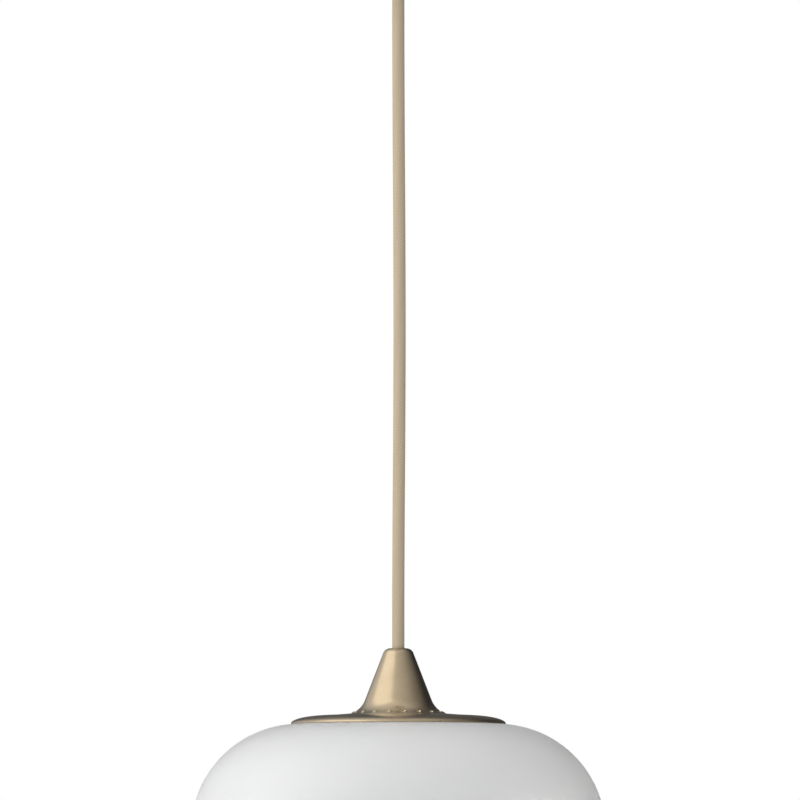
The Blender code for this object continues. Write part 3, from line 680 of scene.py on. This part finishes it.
def build_holder():
    """The lampholder's domed cap and its skirt, which has a thread for the shade ring."""
    middle = (8.5, -50.0)
    dome = arc(middle, (11.0, 9.0), 0, 88, 16)[::-1]
    inner = arc(middle, (9.4, 7.4), 0, 88, 12)
    neck = rounded([(5.3, -36.9), (8.3, -36.9), (8.5, -41.0)], [0, 0.5, 0], 5, closed=False)[:-1]
    foot = [(19.5, -51.6), (19.1, -52.0), (17.9, -52.0)]
    outline = np.concatenate([neck, dome, foot, inner, [(5.3, -42.6)]])
    cap = turned("lampholder_domed_cap", outline, 96, CAP_TOP)
    fit(smooth(cap, 30), "head", "phenolic", "lampholder_cap")
    a = np.linspace(0, FULL, 97)[None]
    outside = thread(19.25, 0.22, 3.0, -53.2, -82.6, 1.5, 100, a)
    top = spin(np.array([(17.6, -52.3), (19.0, -52.3)])[:, None], a)
    rim = [(19.25, -82.6), (19.25, -84.0), (15.2, -84.0), (15.2, -82.5), (17.6, -82.5)]
    rim = rounded(rim, [0, 0.8, 0.5, 0, 0], 6, closed=False)
    ring = np.concatenate([top, outside, spin(rim[1:, None], a), top[:1]])
    skirt = weld("lampholder_threaded_skirt", [ring + (0, 0, CAP_TOP)])
    fit(smooth(skirt, 30), "head", "phenolic", "lampholder_skirt")


def build_bulb():
    """A bulb with a 27 mm screw cap, whose thread has a 3.6 mm pitch and is rolled in thin sheet."""
    a = np.linspace(0, FULL, 97)[None]
    wall = thread(12.35, 0.5, 3.6, -69.6, -84.4, 1.8, 64, a)
    sheet = 0.5
    inner = wall - np.stack([sheet * np.cos(a), sheet * np.sin(a), 0 * a], axis=-1)
    top = rounded([(6.0, -68.3), (12.1, -68.3), (12.35, -69.6)], [0, 0.9, 0], 6, closed=False)
    top = spin(top[:-1, None], a)
    skirt = [(12.35, -84.6), (12.9, -85.0), (12.9, -87.3)]
    skirt += [(12.7, -87.5), (12.2, -87.5), (12.2, -85.2)]
    under = spin(np.array([(11.7, -69.3), (6.0, -68.9)])[:, None], a)
    skirt = spin(np.array(skirt)[:, None], a)
    ring = np.concatenate([top, wall, skirt, inner[::-1], under, top[:1]])
    cap = weld("bulb_screw_cap", [ring + (0, 0, CAP_TOP)])
    fit(smooth(cap, 40), "bulb", "nickel", "bulb_cap")
    corners = [(13.6, -87.8), (14.6, -91.5), (19.6, -108.0), (18.2, -108.0), (13.2, -91.8), (12.2, -87.8)]
    housing = turned("bulb_housing_shell", rounded(corners, [0.5, 6.0, 0.4, 0.3, 5.0, 0.3], 7), 96, CAP_TOP)
    fit(smooth(housing, 40), "bulb", "bulb_plastic", "bulb_housing")
    middle, rim, globe_r, plastic = -119.1, -108.3, 22.5, 1.2
    edge = np.degrees(np.arcsin((rim - middle) / globe_r))
    outside = arc((0, middle), globe_r, edge, -90, 40)
    inside = arc((0, middle), globe_r - plastic, -90, edge + 0.3, 36)
    outside[-1, 0] = inside[0, 0] = 0
    bulb = turned("bulb_globe_blown", np.concatenate([outside, inside]), 96, CAP_TOP)
    fit(smooth(bulb, 40), "bulb", "bulb_plastic", "bulb_globe")


def build_gaskets():
    """Two soft rings, above and below the glass's edge, with rounded corners."""
    for name, node, body, (outer, inner, top, bottom) in (
        ("soft_ring_under_lid", "lid_gasket", "head", (46.0, 38.0, -33.9, -35.4)),
        ("soft_ring_in_shade", "shade_gasket", "shade", (39.0, 31.0, -39.0, -41.0)),
    ):
        outline = rounded([(outer, top), (outer, bottom), (inner, bottom), (inner, top)], 0.5, 5)
        fit(smooth(turned(name, outline, 120, CAP_TOP), 50), body, "white_silicone", node)


def dress_cad():
    """Every CAD node that stays is given its finish."""
    for part in frame["record"]["subparts"]:
        node = frame["nodes"][part["node"]]
        node.data.materials.clear()
        node.data.materials.append(FINISH[part["material_slot"]])


# --- Stage -------------------------------------------------------------------------------------------
def add_light(name, azimuth, elevation, distance, size, power, colour="FFFFFF"):
    """A soft box aimed at the head; azimuth 0 is towards the camera, and it grows to the right."""
    lamp = bpy.data.lights.new(name, "AREA")
    lamp.shape, lamp.size, lamp.size_y = "RECTANGLE", *size
    lamp.energy, lamp.color = power, linear(colour)[:3]
    light = bpy.data.objects.new(name, lamp)
    bpy.context.scene.collection.objects.link(light)
    a, e = np.radians([azimuth, elevation])
    head = np.array([0, 0, -0.42])
    light.location = head + distance * np.array([np.sin(a) * np.cos(e), -np.cos(a) * np.cos(e), np.sin(e)])
    aim(light, head)
    light.visible_camera = False
    return light


def facing(tree, to, way, first, last, low, high):
    """A soft step in a room's brightness: from low to high as a direction comes round to `way`."""
    near = add(tree, "ShaderNodeVectorMath", {0: to, 1: way}, operation="DOT_PRODUCT").outputs["Value"]
    span = {"Value": near, "From Min": first, "From Max": last, "To Min": low, "To Max": high}
    return add(tree, "ShaderNodeMapRange", span, interpolation_type="SMOOTHSTEP").outputs[0]


def build_stage():
    """A pale floor at a room's depth under the lamp, a white room, and soft boxes."""
    down = -2300.0
    rows = np.array([(0.0, down), (2500, down), (40000, down)])[:, None]
    floor = weld("floor", [spin(rows, np.linspace(0, FULL, 65)[None])])
    material, _, shader, _ = new_material("pale_floor", "F0F0EE", 0.8)
    shader.inputs["Emission Color"].default_value = (1, 1, 1, 1)
    shader.inputs["Emission Strength"].default_value = 0.33
    floor.data.materials.append(material)
    world = bpy.data.worlds.new("white_room")
    bpy.context.scene.world = world
    world.use_nodes = True
    tree = world.node_tree
    tree.nodes.clear()
    to = add(tree, "ShaderNodeTexCoord").outputs["Generated"]
    left = facing(tree, to, (-0.80, -0.45, 0.40), 0.0, 0.9, 0.68, 1.0)
    back = facing(tree, to, (0.42, 0.90, 0.10), 0.32, 0.85, 1.0, 0.14)
    right = facing(tree, to, (0.94, 0.34, 0.0), 0.2, 0.85, 1.0, 0.42)
    above = facing(tree, to, (-0.1, -0.1, 0.99), 0.75, 0.97, 1.0, 1.2)
    soft = left
    for side in (back, right, above):
        soft = add(tree, "ShaderNodeMath", {0: soft, 1: side}, operation="MULTIPLY").outputs[0]
    seen = add(tree, "ShaderNodeLightPath").outputs["Is Camera Ray"]
    strength = add(tree, "ShaderNodeMix", {0: seen, 2: soft, 3: 1.0}).outputs[0]
    light = add(tree, "ShaderNodeBackground", {"Color": (1, 1, 1, 1), "Strength": strength})
    add(tree, "ShaderNodeOutputWorld", {"Surface": light.outputs[0]})
    add_light("key_box", -70, 36, 1.5, (1.8, 1.4), 7.6, "FFFEFB")
    add_light("low_fill", -20, -4, 2.2, (2.6, 1.0), 3.0, "FFFDF9")
    # The last two light the glass alone, so that the brass keeps its dark side.
    glass_only = bpy.data.collections.new("lit_glass")
    for name, azimuth, power in (("glass_fill_left", -75, 6.5), ("glass_fill_right", 80, 12.5)):
        fill = add_light(name, azimuth, 12, 2.2, (1.6, 1.0), power, "FFFDF8")
        fill.light_linking.receiver_collection = glass_only
    glass_only.objects.link(bpy.data.objects["opal_shade_glass"])
    bpy.context.scene.view_settings.view_transform = "Standard"


FINISH = finishes()
dress_cad()
add_camera()
build_cord()
build_cap()
build_lid()
build_shade()
build_gaskets()
build_canopy()
build_grip()
build_dish()
build_shade_ring()
build_holder()
build_bulb()
build_stage()
